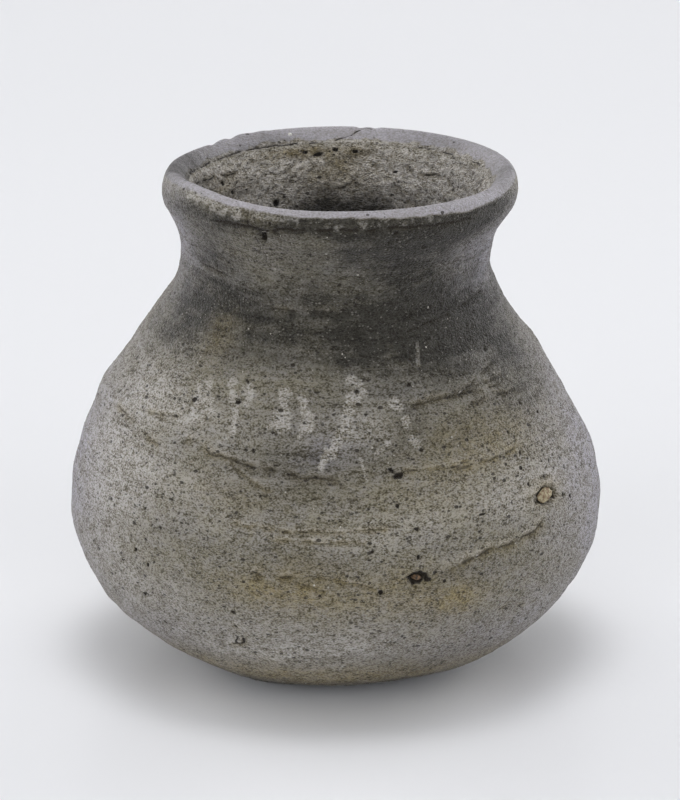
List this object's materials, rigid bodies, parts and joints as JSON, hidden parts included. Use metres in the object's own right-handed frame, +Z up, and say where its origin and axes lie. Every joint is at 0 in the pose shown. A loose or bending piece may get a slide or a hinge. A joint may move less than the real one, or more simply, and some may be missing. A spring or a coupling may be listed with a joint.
{
  "type": "earthenware pot",
  "caption": "Small bag-shaped earthenware pot with a rounded base, waisted neck and everted, bevelled lip, luted together from bands of sandy grey clay.",
  "frame": {"origin": "on the surface that the pot stands on, under the middle of its overall width and depth", "axes": "+Z up through the mouth, -Y towards the side that the picture shows, +X to its right"},
  "size_m": [0.1062, 0.1062, 0.1015],
  "materials": {
    "earthenware_base": "matte",
    "earthenware_body": "matte",
    "earthenware_shoulder": "matte",
    "earthenware_neck": "matte",
    "earthenware_rim": "matte",
    "stone_yellow": "matte",
    "stone_brown": "matte",
    "stone_quartz": "satin"
  },
  "bodies": {
    "root": {"base_pad": "earthenware_base", "lower_wall": "earthenware_body", "belly_band": "earthenware_body", "upper_belly": "earthenware_body", "shoulder_band": "earthenware_shoulder", "neck_collar": "earthenware_neck", "rim_lip": "earthenware_rim", "belly_grain": "stone_yellow", "lower_grain": "stone_brown", "rim_quartz": "stone_quartz"}
  },
  "joints": []
}
